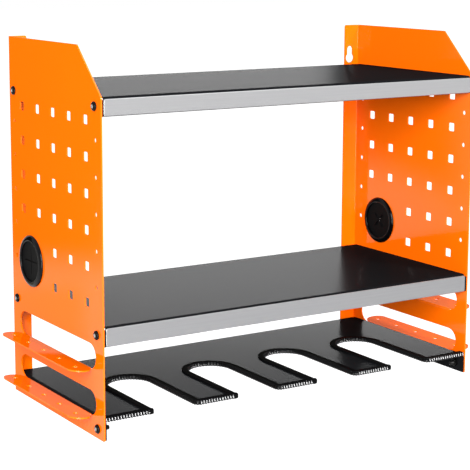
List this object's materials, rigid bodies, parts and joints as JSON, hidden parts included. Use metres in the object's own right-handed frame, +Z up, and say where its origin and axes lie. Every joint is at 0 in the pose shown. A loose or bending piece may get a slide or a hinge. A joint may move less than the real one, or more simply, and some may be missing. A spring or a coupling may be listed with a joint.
{
  "type": "wall mounted power tool organizer",
  "caption": "Wall organizer with perforated folded side panels and holder tabs, open shelves with brushed front strips, and a slotted rack that hangs power tools.",
  "frame": {"origin": "middle of the width and depth, at the side panels' lower edges", "axes": "+X to the right as seen from the front, +Y towards the wall, +Z up"},
  "size_m": [0.542, 0.221, 0.406],
  "materials": {
    "left_panel_orange": "gloss orange powder coat on folded sheet steel",
    "right_panel_orange": "gloss orange powder coat on folded sheet steel",
    "top_shelf_black": "satin black powder coat on folded sheet steel",
    "middle_shelf_black": "satin black powder coat on folded sheet steel",
    "tool_rack_black": "satin black powder coat on folded sheet steel",
    "top_shelf_front_strip_aluminium": "brushed along its length",
    "middle_shelf_front_strip_aluminium": "brushed along its length",
    "rack_trim_rubber": "glossy black rubber edge trim",
    "screw_black": "black zinc",
    "nut_black": "black zinc",
    "left_grommet_plastic": "polished black plastic",
    "left_grommet_rubber": "soft black rubber",
    "right_grommet_plastic": "polished black plastic",
    "right_grommet_rubber": "soft black rubber"
  },
  "bodies": {
    "root": {"left_side_panel": "left_panel_orange", "right_side_panel": "right_panel_orange", "top_shelf": "top_shelf_black", "middle_shelf": "middle_shelf_black", "tool_rack": "tool_rack_black", "top_shelf_front_strip": "top_shelf_front_strip_aluminium", "middle_shelf_front_strip": "middle_shelf_front_strip_aluminium", "rack_edge_trim": "rack_trim_rubber", "left_grommet_outer_ring": "left_grommet_plastic", "left_grommet_outer_membrane": "left_grommet_rubber", "left_grommet_inner_ring": "left_grommet_plastic", "left_grommet_inner_membrane": "left_grommet_rubber", "right_grommet_outer_ring": "right_grommet_plastic", "right_grommet_outer_membrane": "right_grommet_rubber", "right_grommet_inner_ring": "right_grommet_plastic", "right_grommet_inner_membrane": "right_grommet_rubber", "top_shelf_left_front_screw": "screw_black", "top_shelf_left_front_nut": "nut_black", "top_shelf_left_rear_screw": "screw_black", "top_shelf_left_rear_nut": "nut_black", "top_shelf_right_front_screw": "screw_black", "top_shelf_right_front_nut": "nut_black", "top_shelf_right_rear_screw": "screw_black", "top_shelf_right_rear_nut": "nut_black", "middle_shelf_left_front_screw": "screw_black", "middle_shelf_left_front_nut": "nut_black", "middle_shelf_left_rear_screw": "screw_black", "middle_shelf_left_rear_nut": "nut_black", "middle_shelf_right_front_screw": "screw_black", "middle_shelf_right_front_nut": "nut_black", "middle_shelf_right_rear_screw": "screw_black", "middle_shelf_right_rear_nut": "nut_black", "rack_left_front_screw": "screw_black", "rack_left_front_nut": "nut_black", "rack_left_rear_screw": "screw_black", "rack_left_rear_nut": "nut_black", "rack_right_front_screw": "screw_black", "rack_right_front_nut": "nut_black", "rack_right_rear_screw": "screw_black", "rack_right_rear_nut": "nut_black"}
  },
  "joints": []
}
